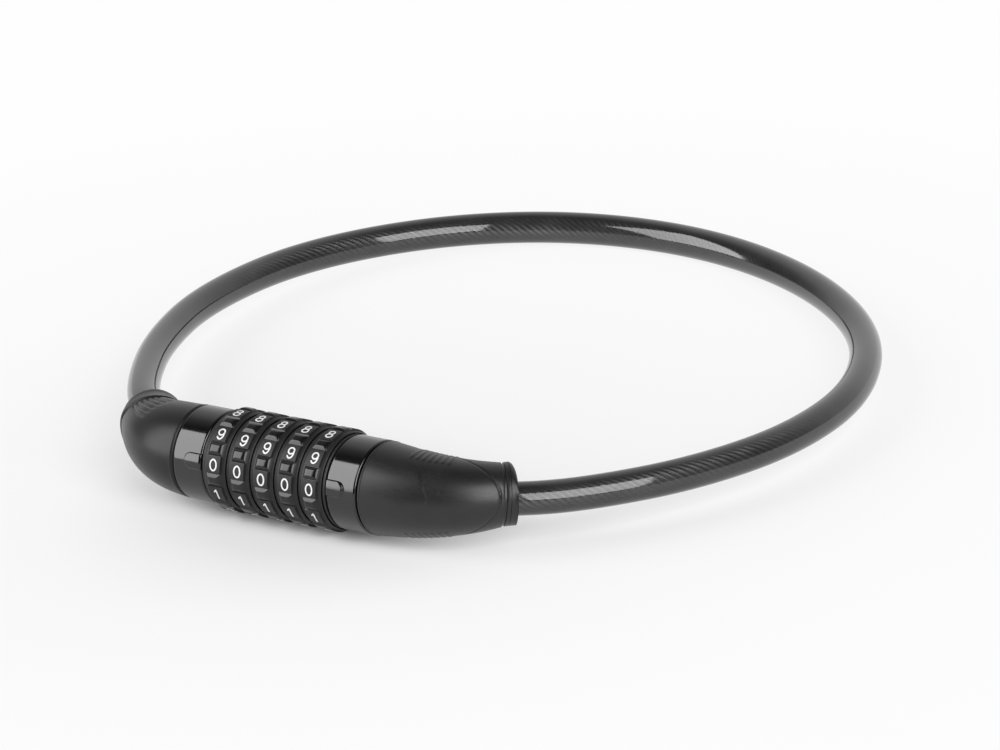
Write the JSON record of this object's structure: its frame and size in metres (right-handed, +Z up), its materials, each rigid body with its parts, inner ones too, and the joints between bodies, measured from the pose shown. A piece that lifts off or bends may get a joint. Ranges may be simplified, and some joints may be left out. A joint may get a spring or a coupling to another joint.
{
  "type": "combination cable lock",
  "caption": "Combination cable lock closed in a loop: a row of number dials between gloss collars and rubber boots on a clear-jacketed steel cable.",
  "frame": {"origin": "on the standing surface, under the middle dial's centre, on the lock's axis seen from above", "axes": "+X along the lock's axis towards the plug that pulls out, +Y from the dials into the cable's loop, +Z up"},
  "size_m": [0.1973, 0.2005, 0.025],
  "materials": {
    "dial_plastic": "moulded black plastic, satin",
    "collar_gloss": "gloss black plastic sleeve",
    "boot_rubber": "soft-touch moulded rubber",
    "clear_jacket": "smoke-tinted clear vinyl tube",
    "steel_strand": "twisted galvanised steel strands",
    "hardened_steel": "turned steel",
    "spring_steel": "drawn spring steel",
    "die_cast_zinc": "die-cast zinc alloy",
    "crimped_ferrule": "crimped aluminium",
    "brass_ring": "turned brass",
    "washer_black": "blackened steel",
    "black_screw": "blackened steel"
  },
  "bodies": {
    "lock_body": {"lock_barrel": "hardened_steel", "detent_spring": "spring_steel", "retaining_ring": "spring_steel", "left_housing": "die_cast_zinc", "left_collar": "collar_gloss", "left_boot": "boot_rubber", "left_ferrule": "crimped_ferrule", "left_set_screw": "black_screw", "barrel_set_screw": "black_screw", "ejector_spring": "spring_steel", "cable_core": "steel_strand", "cable_jacket": "clear_jacket", "spacer_washer_1": "washer_black", "spacer_washer_2": "washer_black", "spacer_washer_3": "washer_black", "spacer_washer_4": "washer_black", "spacer_washer_5": "washer_black", "spacer_washer_6": "washer_black"},
    "dial_1": {"number_dial_1": "dial_plastic", "code_ring_1": "brass_ring"},
    "dial_2": {"number_dial_2": "dial_plastic", "code_ring_2": "brass_ring"},
    "dial_3": {"number_dial_3": "dial_plastic", "code_ring_3": "brass_ring"},
    "dial_4": {"number_dial_4": "dial_plastic", "code_ring_4": "brass_ring"},
    "dial_5": {"number_dial_5": "dial_plastic", "code_ring_5": "brass_ring"},
    "plug": {"right_collar": "collar_gloss", "plug_core": "die_cast_zinc", "bolt": "hardened_steel", "bolt_pin": "hardened_steel", "right_boot": "boot_rubber", "right_ferrule": "crimped_ferrule", "right_set_screw": "black_screw"},
    "ejector": {"ejector_plunger": "brass_ring"}
  },
  "joints": [
    {"name": "dial_1_turn", "type": "hinge", "parent": "lock_body", "child": "dial_1", "pos_m": [0, 0, 0.0126], "axis": [1, 0, 0], "continuous": true},
    {"name": "dial_2_turn", "type": "hinge", "parent": "lock_body", "child": "dial_2", "pos_m": [0, 0, 0.0126], "axis": [1, 0, 0], "continuous": true},
    {"name": "dial_3_turn", "type": "hinge", "parent": "lock_body", "child": "dial_3", "pos_m": [0, 0, 0.0126], "axis": [1, 0, 0], "continuous": true},
    {"name": "dial_4_turn", "type": "hinge", "parent": "lock_body", "child": "dial_4", "pos_m": [0, 0, 0.0126], "axis": [1, 0, 0], "continuous": true},
    {"name": "dial_5_turn", "type": "hinge", "parent": "lock_body", "child": "dial_5", "pos_m": [0, 0, 0.0126], "axis": [1, 0, 0], "continuous": true},
    {"name": "plug_slide", "type": "slide", "parent": "lock_body", "child": "plug", "axis": [1, 0, 0], "range_m": [0, 0.048], "deforming": ["cable_core", "cable_jacket"]},
    {"name": "ejector_slide", "type": "slide", "parent": "lock_body", "child": "ejector", "axis": [1, 0, 0], "range_m": [0, 0.003], "deforming": ["ejector_spring"]}
  ],
  "couplings": [
    {"joint": "ejector_slide", "follows": "plug_slide", "ratio": 0.0625}
  ]
}
